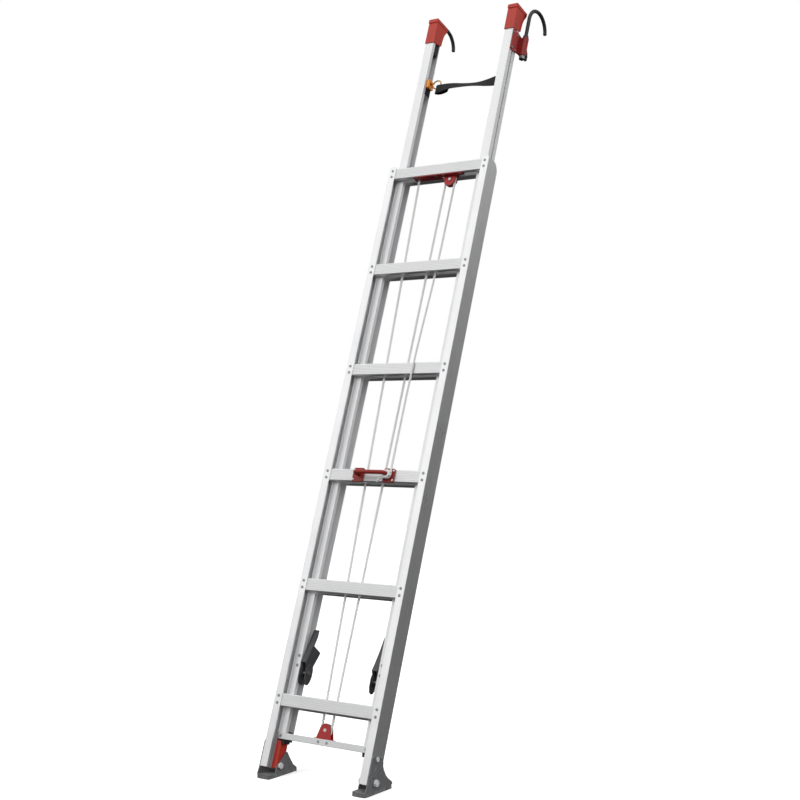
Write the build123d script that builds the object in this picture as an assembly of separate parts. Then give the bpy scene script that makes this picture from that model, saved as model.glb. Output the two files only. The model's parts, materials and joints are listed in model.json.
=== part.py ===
from build123d import *
import math
import os

# Two-section rope-hoisted aluminium extension ladder, retracted and leaning.
# Millimetres. The ladder is drawn in its own straight frame first:
#   x = across (right seen by the climber), y = depth (0 at the base's front
#   flange, growing towards the wall), z = along the rails (0 at the lowest rung).
# place() then leans it back and puts the shoes' soles on the floor, Z = 0.

# ---------------------------------------------------------------- driving sizes
LEAN = 19.8                # degrees from the vertical
PITCH = 340.0              # rung pitch
RUNGS = 6
PIVOT_Y, PIVOT_Z = 38.0, -181.0   # shoe pivot in the ladder's own frame
PIVOT_H = 30.0             # shoe pivot above the floor

BASE_HALF = 187.0          # outside of the base rails
BASE_FLANGE = 25.0
BASE_DEPTH = 60.5
BASE_T = 2.5               # web wall
FLANGE_T = 3.0
BASE_Z0, BASE_Z1 = -191.0, 1724.0
BASE_TOP_R = 38.0          # rounding of the web's upper back corner
LIP_IN = 161.0             # inner edge of the lip that guides the fly rail
LIP_Y0, LIP_Y1 = 18.6, 21.2
LEG_0, LEG_1 = 168.6, 170.8
LEG_Y = 30.5

RUNG_H = 37.0
BASE_RUNG_Y0, BASE_RUNG_Y1 = 3.0, 17.6
RUNG_WALL = 2.0
RIVET_X = 173.5
RIVET_DZ = 10.2

FLY_HALF = 168.0
FLY_IN = 138.0
FLY_Y0, FLY_Y1 = 22.0, 62.5
FLY_T = 2.5
FLY_LIP_Y = 35.0
FLY_Z0, FLY_Z1 = -108.0, 2216.0
FLY_RUNG_Y0, FLY_RUNG_Y1 = 35.5, 59.8
FLY_RUNG_H = 37.0
FLY_RUNG_DZ = (RUNG_H - FLY_RUNG_H) / 2   # tops of both rows of rungs are level
FLY_RIVET_DZ = 8.0
TRACK_Y0, TRACK_Y1 = 39.0, 45.0      # mouth of the guide track in the fly's web
TRACK_W0, TRACK_W1 = 35.5, 48.5      # its wide inside

LOCK_SEAT = 58.0           # underside of the lock's tongue
TRAVEL = 4 * PITCH + RUNG_H / 2 - LOCK_SEAT + 0.3   # lock seated on the fifth rung

ROPE_R = 4.0
ROPE_Y = 26.5              # plane of both pulleys, between the two rows of rungs
SHEAVE_PITCH_R = 17.0
SHEAVE_R = 19.5
SHEAVE_W = 10.4
TOP_X, TOP_Z = 43.0, 1668.0
BOT_X, BOT_Z = 0.0, -65.0
ANCHOR_X, ANCHOR_Z = -79.0, 1690.0
GAP = 0.3                  # between the ends of neighbouring stretches of rope

HOOK_X, HOOK_Y = 180.0, 86.0
HOOK_ROD_R = 6.1
HOOK_BEND_R = 55.0
HOOK_STEM_Z0, HOOK_STEM_Z1 = 2121.0, 2275.0

LOCK_PIN_Y, LOCK_PIN_Z = 40.0, 87.0
LOCK_X0, LOCK_X1 = 117.0, 135.6
LOCK_PARK = 110.0          # swing from hanging forward over a rung to parked behind the rungs

STRAP_Y, STRAP_Z = 47.5, 2037.0
STRAP_W = 40.0
STRAP_T = 2.5

os.makedirs("parts", exist_ok=True)

# ---------------------------------------------------------------- helpers
s_, c_ = math.sin(math.radians(LEAN)), math.cos(math.radians(LEAN))
OFF_Y = -(c_ * PIVOT_Y + s_ * PIVOT_Z)
OFF_Z = PIVOT_H - (-s_ * PIVOT_Y + c_ * PIVOT_Z)
LEANED = Location((0, OFF_Y, OFF_Z), (-LEAN, 0, 0))


def place(shape):
    return LEANED * shape


def to_world(y, z):
    return (c_ * y + s_ * z + OFF_Y, -s_ * y + c_ * z + OFF_Z)


def box(x0, x1, y0, y1, z0, z1):
    return Pos((x0 + x1) / 2, (y0 + y1) / 2, (z0 + z1) / 2) * Box(x1 - x0, y1 - y0, z1 - z0)


def prism_z(pts, z0, z1):
    face = make_face(Polyline(*[(x, y, z0) for x, y in pts], close=True))
    return extrude(face, amount=z1 - z0, dir=(0, 0, 1))


def prism_x(pts, x0, x1):
    face = make_face(Polyline(*[(x0, y, z) for y, z in pts], close=True))
    return extrude(face, amount=x1 - x0, dir=(1, 0, 0))


def prism_y(pts, y0, y1):
    face = make_face(Polyline(*[(x, y0, z) for x, z in pts], close=True))
    return extrude(face, amount=y1 - y0, dir=(0, 1, 0))


def cyl_x(x0, x1, y, z, r):
    return Pos((x0 + x1) / 2, y, z) * Rot(0, 90, 0) * Cylinder(r, x1 - x0)


def cyl_y(x, y0, y1, z, r):
    return Pos(x, (y0 + y1) / 2, z) * Rot(90, 0, 0) * Cylinder(r, y1 - y0)


def cyl_z(x, y, z0, z1, r):
    return Pos(x, y, (z0 + z1) / 2) * Cylinder(r, z1 - z0)


def rod(p, q, r):
    p, q = Vector(*p), Vector(*q)
    plane = Plane(origin=p, z_dir=(q - p).normalized())
    return extrude(plane * Circle(r), amount=(q - p).length)


def rounded_rect(a0, a1, b0, b1, r, n=4):
    pts = []
    for (cx, cy, start) in ((a1 - r, b1 - r, 0), (a0 + r, b1 - r, 90), (a0 + r, b0 + r, 180), (a1 - r, b0 + r, 270)):
        for i in range(n + 1):
            t = math.radians(start + 90 * i / n)
            pts.append((cx + r * math.cos(t), cy + r * math.sin(t)))
    return pts


def mirrored(shape):
    return mirror(shape, about=Plane.YZ)


def cut(shape, *tools):
    for tool in tools:
        shape = shape - tool
    return shape


def fuse(first, *others):
    for other in others:
        first = first + other
    return first


def hexagon(r, start=0):
    return [(r * math.cos(math.radians(start + 60 * k)), r * math.sin(math.radians(start + 60 * k))) for k in range(6)]


NODES = {}


def node(name, shape, leaned=True):
    solids = shape if isinstance(shape, list) else [shape]
    out = []
    for solid in solids:
        for part in solid.solids():
            out.append(place(part) if leaned else part)
    NODES[name] = out


def both(name, shape, leaned=True):
    """Right piece as drawn, left piece mirrored."""
    solids = shape if isinstance(shape, list) else [shape]
    node(name + "_right", solids, leaned)
    node(name + "_left", [mirrored(s) for s in solids], leaned)


RUNG_Z = [PITCH * i for i in range(RUNGS)]
WEB_IN = BASE_HALF - BASE_T

# ---------------------------------------------------------------- base rails
# C section with a guiding lip for the fly rail, carried by a leg from the web
base_profile = [
    (BASE_HALF - BASE_FLANGE, 0.6), (BASE_HALF - BASE_FLANGE + 0.6, 0.0), (BASE_HALF - 1.6, 0.0), (BASE_HALF - 0.5, 0.5),
    (BASE_HALF, 1.6), (BASE_HALF, BASE_DEPTH - 1.2), (BASE_HALF - 1.2, BASE_DEPTH), (171.0, BASE_DEPTH), (171.0, BASE_DEPTH - 2.5),
    (WEB_IN, BASE_DEPTH - 2.5), (WEB_IN, LEG_Y), (LEG_0, LEG_Y), (LEG_0, LIP_Y1), (LIP_IN, LIP_Y1), (LIP_IN, LIP_Y0), (LEG_1, LIP_Y0),
    (LEG_1, LEG_Y - 2.5), (WEB_IN, LEG_Y - 2.5), (WEB_IN, FLANGE_T), (BASE_HALF - BASE_FLANGE, FLANGE_T),
]
base_rail = prism_z(base_profile, BASE_Z0, BASE_Z1)
# the lower back corner is cut away so that the shoe can tilt
base_rail = base_rail - prism_x([(42, BASE_Z0 - 1), (70, BASE_Z0 - 1), (70, -160), (60.6, -170)], 150, 190)
# the web's upper back corner is rounded, and the flange's outer one taken off
corner = [(BASE_DEPTH - BASE_TOP_R, BASE_Z1 + 5.0), (BASE_DEPTH + 5.0, BASE_Z1 + 5.0), (BASE_DEPTH + 5.0, BASE_Z1 - BASE_TOP_R)]
for k in range(11):
    t = math.radians(9.0 * k)
    corner.append((BASE_DEPTH - BASE_TOP_R + BASE_TOP_R * math.cos(t), BASE_Z1 - BASE_TOP_R + BASE_TOP_R * math.sin(t)))
base_rail = base_rail - prism_x(corner, 150, 195)
base_rail = base_rail - prism_y([(BASE_HALF - 6, BASE_Z1 + 1), (BASE_HALF + 1, BASE_Z1 + 1), (BASE_HALF + 1, BASE_Z1 - 6), (BASE_HALF - 0.6, BASE_Z1 - 3.0), (BASE_HALF - 2.6, BASE_Z1 - 0.8)], -1, 70)
for z in RUNG_Z:
    for dz in (-RIVET_DZ, RIVET_DZ):
        base_rail = base_rail - cyl_y(RIVET_X, -1, 4, z + dz, 2.5)
base_rail = base_rail - cyl_x(180, 190, PIVOT_Y, PIVOT_Z, 5.05)
STUD_Y, STUD_Z = 24.0, -119.0
base_rail = base_rail - cyl_x(180, 190, STUD_Y, STUD_Z, 3.05)
both("base_rail", base_rail)


# ---------------------------------------------------------------- base rungs
def rung_tube(y0, y1, z, half, height=RUNG_H):
    h = height / 2
    outer = rounded_rect(y0, y1, z - h, z + h, 2.5, 3)
    tube = prism_x(outer, -half, half)
    tube = tube - prism_x(rounded_rect(y0 + RUNG_WALL, y1 - RUNG_WALL, z - h + RUNG_WALL, z + h - RUNG_WALL, 1.5, 2), -half - 1, half + 1)
    for g in (-12.5, -7.5, -2.5, 2.5, 7.5, 12.5):
        if abs(g) < h - 3.0:
            tube = tube - box(-half - 1, half + 1, y0 - 1, y0 + 0.5, z + g - 0.6, z + g + 0.6)
    for g in (4.5, 7.5, 10.5):
        tube = tube - box(-half - 1, half + 1, y0 + g - 0.7, y0 + g + 0.7, z + h - 0.6, z + h + 1)
    return tube


R6_UNDER = RUNG_Z[-1] - RUNG_H / 2
TOP_FIX = (TOP_X - 21.5, TOP_X + 42.5)     # rivets of the upper pulley
ANCHOR_FIX = (ANCHOR_X, -6.0)              # rivets of the rope's anchor plate
FIX_Y = 10.5
HANDLE_SCREWS = ((71.0, 665.5), (71.0, 695.0))
base_end = WEB_IN - 0.2
for i, z in enumerate(RUNG_Z):
    rung = rung_tube(BASE_RUNG_Y0, BASE_RUNG_Y1, z, base_end)
    for sx in (-1, 1):
        for dz in (-RIVET_DZ, RIVET_DZ):
            rung = rung - cyl_y(sx * RIVET_X, 2, 6, z + dz, 2.5)
    if i == RUNGS - 1:
        for x in TOP_FIX + ANCHOR_FIX:
            rung = rung - cyl_z(x, FIX_Y, z - 20, z - 15, 2.5)
    if i == 2:
        for sx in (-1, 1):
            for hx, hz in HANDLE_SCREWS:
                rung = rung - cyl_y(sx * hx, 2, 6, hz, 2.3)
    node("base_rung_%d" % (i + 1), rung)


def rivet_y(x, z, y_face, depth, r_head=4.3, h=1.8, r=2.45):
    head = Pos(x, y_face - h / 2, z) * Rot(90, 0, 0) * Cylinder(r_head, h)
    head = fillet(head.edges().filter_by(GeomType.CIRCLE).sort_by(Axis.Y)[0], h * 0.75)
    return head + cyl_y(x, y_face - 0.1, y_face + depth, z, r)


def rivet_back(x, z, y_face, depth, r_head=4.3, h=1.6, r=2.45):
    """Head behind y_face, shank towards the front."""
    head = Pos(x, y_face + h / 2, z) * Rot(90, 0, 0) * Cylinder(r_head, h)
    head = fillet(head.edges().filter_by(GeomType.CIRCLE).sort_by(Axis.Y)[-1], h * 0.7)
    return head + cyl_y(x, y_face - depth, y_face + 0.1, z, r)


def rivet_under(x, y, z_face, up, r_head=4.5, h=1.8, r=2.45):
    head = Pos(x, y, z_face - h / 2) * Cylinder(r_head, h)
    head = fillet(head.edges().filter_by(GeomType.CIRCLE).sort_by(Axis.Z)[0], h * 0.7)
    return head + cyl_z(x, y, z_face - 0.1, z_face + up, r)


def rivet_x(x_face, y, z, depth, r_head=4.3, h=1.6, r=2.45):
    """Head outside on the +x side of x_face."""
    head = Pos(x_face + h / 2, y, z) * Rot(0, 90, 0) * Cylinder(r_head, h)
    head = fillet(head.edges().filter_by(GeomType.CIRCLE).sort_by(Axis.X)[-1], h * 0.7)
    return head + cyl_x(x_face - depth, x_face + 0.1, y, z, r)


rivets = []
for z in RUNG_Z:
    for sx in (-1, 1):
        for dz in (-RIVET_DZ, RIVET_DZ):
            rivets.append(rivet_y(sx * RIVET_X, z + dz, 0.0, 5.0))
for x in TOP_FIX + ANCHOR_FIX:
    rivets.append(rivet_under(x, FIX_Y, R6_UNDER - 2.5, 4.5))
node("base_rivets", rivets)

# ---------------------------------------------------------------- upper guides on the base
# block inside the rail's top with a T tongue that runs in the fly rail's track
guide = box(FLY_HALF + 0.5, WEB_IN - 0.2, LEG_Y + 0.3, 57.7, 1622.0, 1684.0)
guide = guide + box(FLY_HALF - 3.0, FLY_HALF + 1.0, TRACK_Y0 + 0.4, TRACK_Y1 - 0.4, 1624.0, 1682.0)
guide = guide + box(162.5, 165.0, TRACK_W0 + 0.5, TRACK_W1 - 0.5, 1624.0, 1682.0)
guide = guide - prism_x([(57.8, 1684.1), (57.8, 1672.0), (46.0, 1684.1)], FLY_HALF, WEB_IN)
both("base_guide", guide)

# ---------------------------------------------------------------- stops in the base rails' feet
STOP_TOP = -112.3
STOP_IN = 148.0
stop_side = [(FLY_Y0, STOP_TOP), (57.0, STOP_TOP), (57.0, -175.5), (42.5, -190.5), (FLY_Y0, -190.5)]
stop = prism_x(stop_side, STOP_IN, LEG_0 - 0.2)
stop_side_2 = [(LEG_Y + 0.3, STOP_TOP), (57.0, STOP_TOP), (57.0, -175.5), (42.5, -190.5), (LEG_Y + 0.3, -190.5)]
stop = stop + prism_x(stop_side_2, LEG_0 - 1.0, WEB_IN - 0.2)
stop = stop - prism_z([(STOP_IN - 1, FLY_Y0 - 1), (STOP_IN + 4.5, FLY_Y0 - 1), (STOP_IN + 4.5, FLY_Y0), (STOP_IN, FLY_Y0 + 4.5), (STOP_IN - 1, FLY_Y0 + 4.5)], -200, -100)
stop = stop - cyl_x(140, 190, PIVOT_Y, PIVOT_Z, 5.05)
both("fly_stop", stop)


# ---------------------------------------------------------------- shoes (drawn level, standing on the floor)
def level(pts_local):
    return [to_world(y, z) for y, z in pts_local]


SOLE_TOP, PLATE_TOP = 9.2, 12.0
SHOE_IN0, SHOE_IN1 = 144.7, 147.7
SHOE_OUT0, SHOE_OUT1 = 187.3, 190.3
TOE_Y, HEEL_Y = -50.0, 80.0
outer_world = [(-48.0, PLATE_TOP - 1), (-38.0, 31.0)] + level([(2.0, -120.0), (8.0, -112.0), (50.0, -112.0), (56.0, -122.0)]) + [
    (36.0, 68.0), (40.0, 57.0), (49.0, 42.0), (60.0, 31.0), (76.0, 20.0), (79.0, 17.0), (79.0, PLATE_TOP - 1)]
outer_plate = prism_x(outer_world, SHOE_OUT0, SHOE_OUT1)
inner_world = [(-19.0, PLATE_TOP - 1), (-19.0, 16.5), (-9.0, 36.0), (6.0, 44.0), (28.0, 64.0), (34.0, 63.0), (48.0, 40.0), (60.0, 23.0), (72.0, 14.0), (72.0, PLATE_TOP - 1)]
inner_plate = prism_x(inner_world, SHOE_IN0, SHOE_IN1)
floor_plate = prism_z(rounded_rect(SHOE_IN0, SHOE_OUT1, TOE_Y + 1.0, HEEL_Y - 1.0, 6.0, 4), SOLE_TOP, PLATE_TOP)
shoe = fuse(floor_plate, outer_plate, inner_plate)
# diagonal stiffening ribs on the outer plate
for a, b in (((-27.0, 44.0), (8.0, 73.0)), ((-10.0, 45.0), (24.0, 68.0)), ((12.0, 44.0), (33.0, 58.0))):
    dy, dz = b[0] - a[0], b[1] - a[1]
    ln = math.hypot(dy, dz)
    ny, nz = -dz / ln * 2.0, dy / ln * 2.0
    shoe = shoe + prism_x([(a[0] + ny, a[1] + nz), (b[0] + ny, b[1] + nz), (b[0] - ny, b[1] - nz), (a[0] - ny, a[1] - nz)], SHOE_OUT1 - 0.5, SHOE_OUT1 + 1.4)
# pivot hole and the curved slot of the guide stud
py, pz = to_world(PIVOT_Y, PIVOT_Z)
sy, sz = to_world(STUD_Y, STUD_Z)
shoe = shoe - cyl_x(140, 200, py, pz, 5.06)
slot_r = math.hypot(sy - py, sz - pz)
slot_a = math.degrees(math.atan2(sz - pz, sy - py))
SLOT_HALF_ANGLE, SLOT_HALF = 15.5, 3.6
slot_pts = []
for k in range(17):
    t = math.radians(slot_a - SLOT_HALF_ANGLE + 2 * SLOT_HALF_ANGLE * k / 16)
    slot_pts.append((py + (slot_r + SLOT_HALF) * math.cos(t), pz + (slot_r + SLOT_HALF) * math.sin(t)))
for k in range(16, -1, -1):
    t = math.radians(slot_a - SLOT_HALF_ANGLE + 2 * SLOT_HALF_ANGLE * k / 16)
    slot_pts.append((py + (slot_r - SLOT_HALF) * math.cos(t), pz + (slot_r - SLOT_HALF) * math.sin(t)))
shoe = shoe - prism_x(slot_pts, SHOE_OUT0 - 1, SHOE_OUT1 + 3)
both("foot_shoe", shoe, leaned=False)

pad = prism_z(rounded_rect(SHOE_IN0 - 0.2, SHOE_OUT1 + 0.2, TOE_Y, HEEL_Y, 7.0, 4), 0.0, SOLE_TOP)
for k in range(11):
    y = TOE_Y + 10.0 + k * 11.0
    pad = pad - box(140, 200, y - 1.6, y + 1.6, -1, 2.2)
both("foot_pad", pad, leaned=False)

bolt = cyl_x(141.0, 192.4, py, pz, 5.0)
bolt = bolt + cyl_x(SHOE_OUT1 + 0.3, SHOE_OUT1 + 2.2, py, pz, 10.5)
bolt = bolt + prism_x([(py + a, pz + b) for a, b in hexagon(9.2)], SHOE_OUT1 + 2.1, SHOE_OUT1 + 6.4)
bolt = bolt + prism_x([(py + a, pz + b) for a, b in hexagon(9.2, 15)], 138.6, SHOE_IN0 - 0.3)
stud = cyl_x(WEB_IN - 3.0, SHOE_OUT1 + 0.6, sy, sz, 3.0) + cyl_x(SHOE_OUT1 + 0.4, SHOE_OUT1 + 3.2, sy, sz, 6.5)
node("foot_bolts", [bolt, mirrored(bolt), stud, mirrored(stud)], leaned=False)

# ---------------------------------------------------------------- upper pulley, under and behind the sixth rung
half_w = SHEAVE_W / 2 + 0.5
CHEEK_T = 1.6
CH_F0, CH_F1 = ROPE_Y - half_w - CHEEK_T, ROPE_Y - half_w
CH_R0, CH_R1 = ROPE_Y + half_w, ROPE_Y + half_w + CHEEK_T


def round_plate(xc, zc, r, z_end, half_end, y0, y1):
    """Plate with a round end of radius r about (xc, zc), widening to half_end at z_end."""
    sgn = -1 if z_end > zc else 1
    pts = [(xc - half_end, z_end), (xc + half_end, z_end)]
    for k in range(15):
        t = math.radians(4 + 172 * k / 14)
        pts.append((xc + r * math.cos(t), zc + sgn * r * math.sin(t)))
    return prism_y(pts, y0, y1)


BRIDGE_Z = 1692.0
top_bracket = fuse(
    prism_z(rounded_rect(TOP_X - 33, TOP_X + 52, 4.5, CH_F1, 1.5, 3), R6_UNDER - 2.5, R6_UNDER),
    round_plate(TOP_X, 1667.0, 21.5, BRIDGE_Z + 2.0, 22.0, CH_F0, CH_F1),
    round_plate(TOP_X, 1667.0, 21.5, BRIDGE_Z + 2.0, 22.0, CH_R0, CH_R1),
    box(TOP_X - 22, TOP_X + 22, CH_F0, CH_R1, BRIDGE_Z, BRIDGE_Z + 2.0),
)
top_bracket = cut(top_bracket, cyl_y(TOP_X, 0, 50, TOP_Z, 4.05), *[cyl_z(x, FIX_Y, 1670, 1690, 2.5) for x in TOP_FIX])
node("top_pulley_bracket", top_bracket)
top_pin = cyl_y(TOP_X, CH_F0 - 1.0, CH_R1 + 0.8, TOP_Z, 4.0)
top_pin = top_pin + cyl_y(TOP_X, CH_F0 - 2.2, CH_F0 - 0.05, TOP_Z, 5.2)
node("top_pulley_pin", top_pin)


def sheave(x, y, z):
    wheel = cyl_y(x, y - SHEAVE_W / 2, y + SHEAVE_W / 2, z, SHEAVE_R)
    wheel = wheel - Pos(x, y, z) * Rot(90, 0, 0) * Torus(SHEAVE_PITCH_R, ROPE_R + 0.3)
    ring = cyl_y(x, y - ROPE_R - 0.3, y + ROPE_R + 0.3, z, SHEAVE_R + 2) - cyl_y(x, y - 8, y + 8, z, SHEAVE_PITCH_R)
    wheel = wheel - ring
    wheel = wheel - cyl_y(x, y - 20, y + 20, z, 4.06)
    for k in range(4):
        t = math.radians(45 + 90 * k)
        wheel = wheel - cyl_y(x + 8.4 * math.cos(t), y - 20, y + 20, z + 8.4 * math.sin(t), 1.7)
    return wheel


node("top_sheave", sheave(TOP_X, ROPE_Y, TOP_Z))

# ---------------------------------------------------------------- rope anchor plate
anchor = prism_z(rounded_rect(ANCHOR_X - 13, TOP_X - 35, 4.5, 33.5, 4, 3), R6_UNDER - 2.5, R6_UNDER)
anchor = cut(anchor, cyl_z(ANCHOR_X, ROPE_Y, 1660, 1690, 4.7), *[cyl_z(x, FIX_Y, 1670, 1690, 2.5) for x in ANCHOR_FIX])
node("rope_anchor", anchor)

# ---------------------------------------------------------------- rope handle on the third rung
HZ = RUNG_Z[2]
POST_X, POST_Z = 53.0, 681.5
GRIP_Y, GRIP_Z, GRIP_R = -27.5, 681.5, 6.25
handle_foot = prism_y(rounded_rect(36.4, 74.4, 658.5, 701.0, 5.0, 4), -2.0, BASE_RUNG_Y0)
handle_foot = handle_foot & box(30, 80, -3, 4, HZ - RUNG_H / 2 - 3.0, HZ + RUNG_H / 2 + 2.5)
for hx, hz in HANDLE_SCREWS:
    handle_foot = handle_foot - cyl_y(hx, -5, 5, hz, 2.3)
grip_path = FilletPolyline((-POST_X, 1.0, POST_Z), (-POST_X, GRIP_Y, GRIP_Z), (POST_X, GRIP_Y, GRIP_Z), (POST_X, 1.0, POST_Z), radius=9)
grip = sweep(Plane(origin=grip_path @ 0, z_dir=grip_path % 0) * Circle(GRIP_R), path=grip_path)
handle = fuse(grip, handle_foot, mirrored(handle_foot))
handle = handle - box(-100, 100, BASE_RUNG_Y0, 12, HZ - 30, HZ + 40)
node("rope_handle", handle)
screws = []
for sx in (-1, 1):
    for hx, hz in HANDLE_SCREWS:
        screws.append(rivet_y(sx * hx, hz, -2.0, 6.9, r_head=3.0, h=1.5, r=2.25))
node("rope_handle_screws", screws)


# ---------------------------------------------------------------- rope
def half_turn(x, y, z, over):
    ring = Pos(x, y, z) * Rot(90, 0, 0) * Torus(SHEAVE_PITCH_R, ROPE_R)
    if over:
        return ring & box(x - 40, x + 40, y - 20, y + 20, z, z + 60)
    return ring & box(x - 40, x + 40, y - 20, y + 20, z - 60, z)


TURN_R = GRIP_R + ROPE_R + 0.1
TURN_Y = (-6.2, -14.4)
top_turn = half_turn(TOP_X, ROPE_Y, TOP_Z, True)
line_pts = [
    (TOP_X + SHEAVE_PITCH_R, ROPE_Y, TOP_Z - GAP),
    (60.6, 22.8, 1350.0),
    (62.0, -2.4, 1036.0),
    (POST_X + TURN_R, TURN_Y[0], POST_Z + 4.0),
]
LINE_RADII = [300, 300]
line_path = FilletPolyline(*line_pts, radius=LINE_RADII)
line = sweep(Plane(origin=line_path @ 0, z_dir=line_path % 0) * Circle(ROPE_R), path=line_path)
print("rope hand line radii", LINE_RADII, "length", round(line_path.length, 1), "volume ratio", round(line.volume / (math.pi * ROPE_R ** 2 * line_path.length), 4))
turns = [Pos(POST_X, y, POST_Z) * Rot(90, 0, 0) * Torus(TURN_R, ROPE_R) for y in TURN_Y]
line = line - Pos(POST_X, TURN_Y[0], POST_Z) * Rot(90, 0, 0) * Torus(TURN_R, ROPE_R + GAP)
line = max(line.solids(), key=lambda s: s.volume)
tail = rod((36.0, -6.8, 669.0), (17.0, -6.8, 656.5), ROPE_R)
node("rope_hand_line", [top_turn, line] + turns + [tail])

node("rope_lift_strand", rod((TOP_X - SHEAVE_PITCH_R, ROPE_Y, TOP_Z - GAP), (BOT_X + SHEAVE_PITCH_R, ROPE_Y, BOT_Z + GAP), ROPE_R))
strand = rod((ANCHOR_X, ROPE_Y, ANCHOR_Z), (BOT_X - SHEAVE_PITCH_R, ROPE_Y, BOT_Z + GAP + 0.2), ROPE_R)
knot = Pos(ANCHOR_X, ROPE_Y, ANCHOR_Z) * Sphere(6.9)
node("rope_anchor_strand", fuse(strand, knot))
node("rope_bottom_turn", half_turn(BOT_X, ROPE_Y, BOT_Z, False))

# ---------------------------------------------------------------- fly rails
fly_profile = [
    (FLY_IN, FLY_Y0 + 0.6), (FLY_IN + 0.6, FLY_Y0), (FLY_HALF - 1.5, FLY_Y0), (FLY_HALF - 0.45, FLY_Y0 + 0.45), (FLY_HALF, FLY_Y0 + 1.5),
    (FLY_HALF, TRACK_Y0), (FLY_HALF - FLY_T, TRACK_Y0), (FLY_HALF - FLY_T, TRACK_W0), (162.0, TRACK_W0), (162.0, TRACK_W1),
    (FLY_HALF - FLY_T, TRACK_W1), (FLY_HALF - FLY_T, TRACK_Y1), (FLY_HALF, TRACK_Y1),
    (FLY_HALF, FLY_Y1 - 1.5), (FLY_HALF - 0.45, FLY_Y1 - 0.45), (FLY_HALF - 1.5, FLY_Y1), (FLY_IN + 0.6, FLY_Y1), (FLY_IN, FLY_Y1 - 0.6),
    (FLY_IN, FLY_Y1 - FLY_T), (FLY_HALF - FLY_T, FLY_Y1 - FLY_T), (FLY_HALF - FLY_T, TRACK_W1 + 2.5), (159.5, TRACK_W1 + 2.5),
    (159.5, TRACK_W0 - 2.5), (FLY_HALF - FLY_T, TRACK_W0 - 2.5), (FLY_HALF - FLY_T, FLY_Y0 + FLY_T), (FLY_IN + FLY_T, FLY_Y0 + FLY_T),
    (FLY_IN + FLY_T, FLY_LIP_Y), (FLY_IN, FLY_LIP_Y),
]
fly_rail = prism_z(fly_profile, FLY_Z0, FLY_Z1)
FLY_RIVET_X = 149.0
for z in RUNG_Z:
    for dz in (-FLY_RIVET_DZ, FLY_RIVET_DZ):
        fly_rail = fly_rail - cyl_y(FLY_RIVET_X, 58, 66, z + FLY_RUNG_DZ + dz, 2.5)
BAR_Z0, BAR_Z1 = FLY_Z0, -90.0
BAR_Y0 = 18.6
BAR_RIVET_X = 150.0
BAR_MID = (BAR_Z0 + BAR_Z1) / 2
fly_rail = fly_rail - cyl_y(BAR_RIVET_X, 15, 26, BAR_MID, 2.5)
LOCK_RIVET_X = 147.0
LOCK_RIVET_Z = (133.0, 105.0)
for z in LOCK_RIVET_Z:
    fly_rail = fly_rail - cyl_y(LOCK_RIVET_X, 15, 26, z, 2.5)
BRK_RIVETS = [(33.0, 2137.0), (54.0, 2137.0), (33.0, 2192.0), (54.0, 2192.0)]
for y, z in BRK_RIVETS:
    fly_rail = fly_rail - cyl_x(164, 175, y, z, 2.5)
both("fly_rail", fly_rail)

# ---------------------------------------------------------------- fly rungs
for i, z in enumerate(RUNG_Z):
    rung = rung_tube(FLY_RUNG_Y0, FLY_RUNG_Y1, z + FLY_RUNG_DZ, 159.2, FLY_RUNG_H)
    for sx in (-1, 1):
        for dz in (-FLY_RIVET_DZ, FLY_RIVET_DZ):
            rung = rung - cyl_y(sx * FLY_RIVET_X, 56, 62, z + FLY_RUNG_DZ + dz, 2.5)
    node("fly_rung_%d" % (i + 1), rung)

fly_rivets = []
for z in RUNG_Z:
    for sx in (-1, 1):
        for dz in (-FLY_RIVET_DZ, FLY_RIVET_DZ):
            fly_rivets.append(rivet_back(sx * FLY_RIVET_X, z + FLY_RUNG_DZ + dz, FLY_Y1, 4.8))
BAR_SCREW_X = 15.0
for x in (-BAR_RIVET_X, BAR_RIVET_X, -BAR_SCREW_X, BAR_SCREW_X):
    fly_rivets.append(cyl_y(x, BAR_Y0 - 0.45, BAR_Y0, BAR_MID, 4.2) + cyl_y(x, BAR_Y0 - 0.1, FLY_Y0 + 2.4, BAR_MID, 2.45))
for z in LOCK_RIVET_Z:
    r = rivet_y(LOCK_RIVET_X, z, FLY_Y0, 5.5, h=1.6)
    fly_rivets += [r, mirrored(r)]
for y, z in BRK_RIVETS:
    r = rivet_x(FLY_HALF + 3.0, y, z, 5.4)
    fly_rivets += [r, mirrored(r)]
node("fly_rivets", fly_rivets)

# ---------------------------------------------------------------- fly bottom bar and pulley
bar = prism_x(rounded_rect(BAR_Y0, FLY_Y0, BAR_Z0, BAR_Z1, 0.9, 2), -160.0, 160.0)
for x in (-BAR_RIVET_X, BAR_RIVET_X, -BAR_SCREW_X, BAR_SCREW_X):
    bar = bar - cyl_y(x, 15, 26, BAR_MID, 2.5)
node("fly_bottom_bar", bar)

low_bracket = fuse(
    box(-33, 33, CH_F0, CH_R1, BAR_Z1, BAR_Z1 + 2.0),
    box(-33, 33, FLY_Y0, FLY_Y0 + 2.4, BAR_Z0 + 1.0, BAR_Z1 + 1.0),
    round_plate(BOT_X, BOT_Z, 19.2, BAR_Z1 + 1.5, 26.0, CH_F0, CH_F1),
    round_plate(BOT_X, BOT_Z, 19.2, BAR_Z1 + 1.5, 26.0, CH_R0, CH_R1),
)
low_bracket = low_bracket - cyl_y(BOT_X, 0, 60, BOT_Z, 4.05)
for x in (-BAR_SCREW_X, BAR_SCREW_X):
    low_bracket = low_bracket - cyl_y(x, 15, 26, BAR_MID, 2.5)
node("bottom_pulley_bracket", low_bracket)
node("bottom_sheave", sheave(BOT_X, ROPE_Y, BOT_Z))

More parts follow.
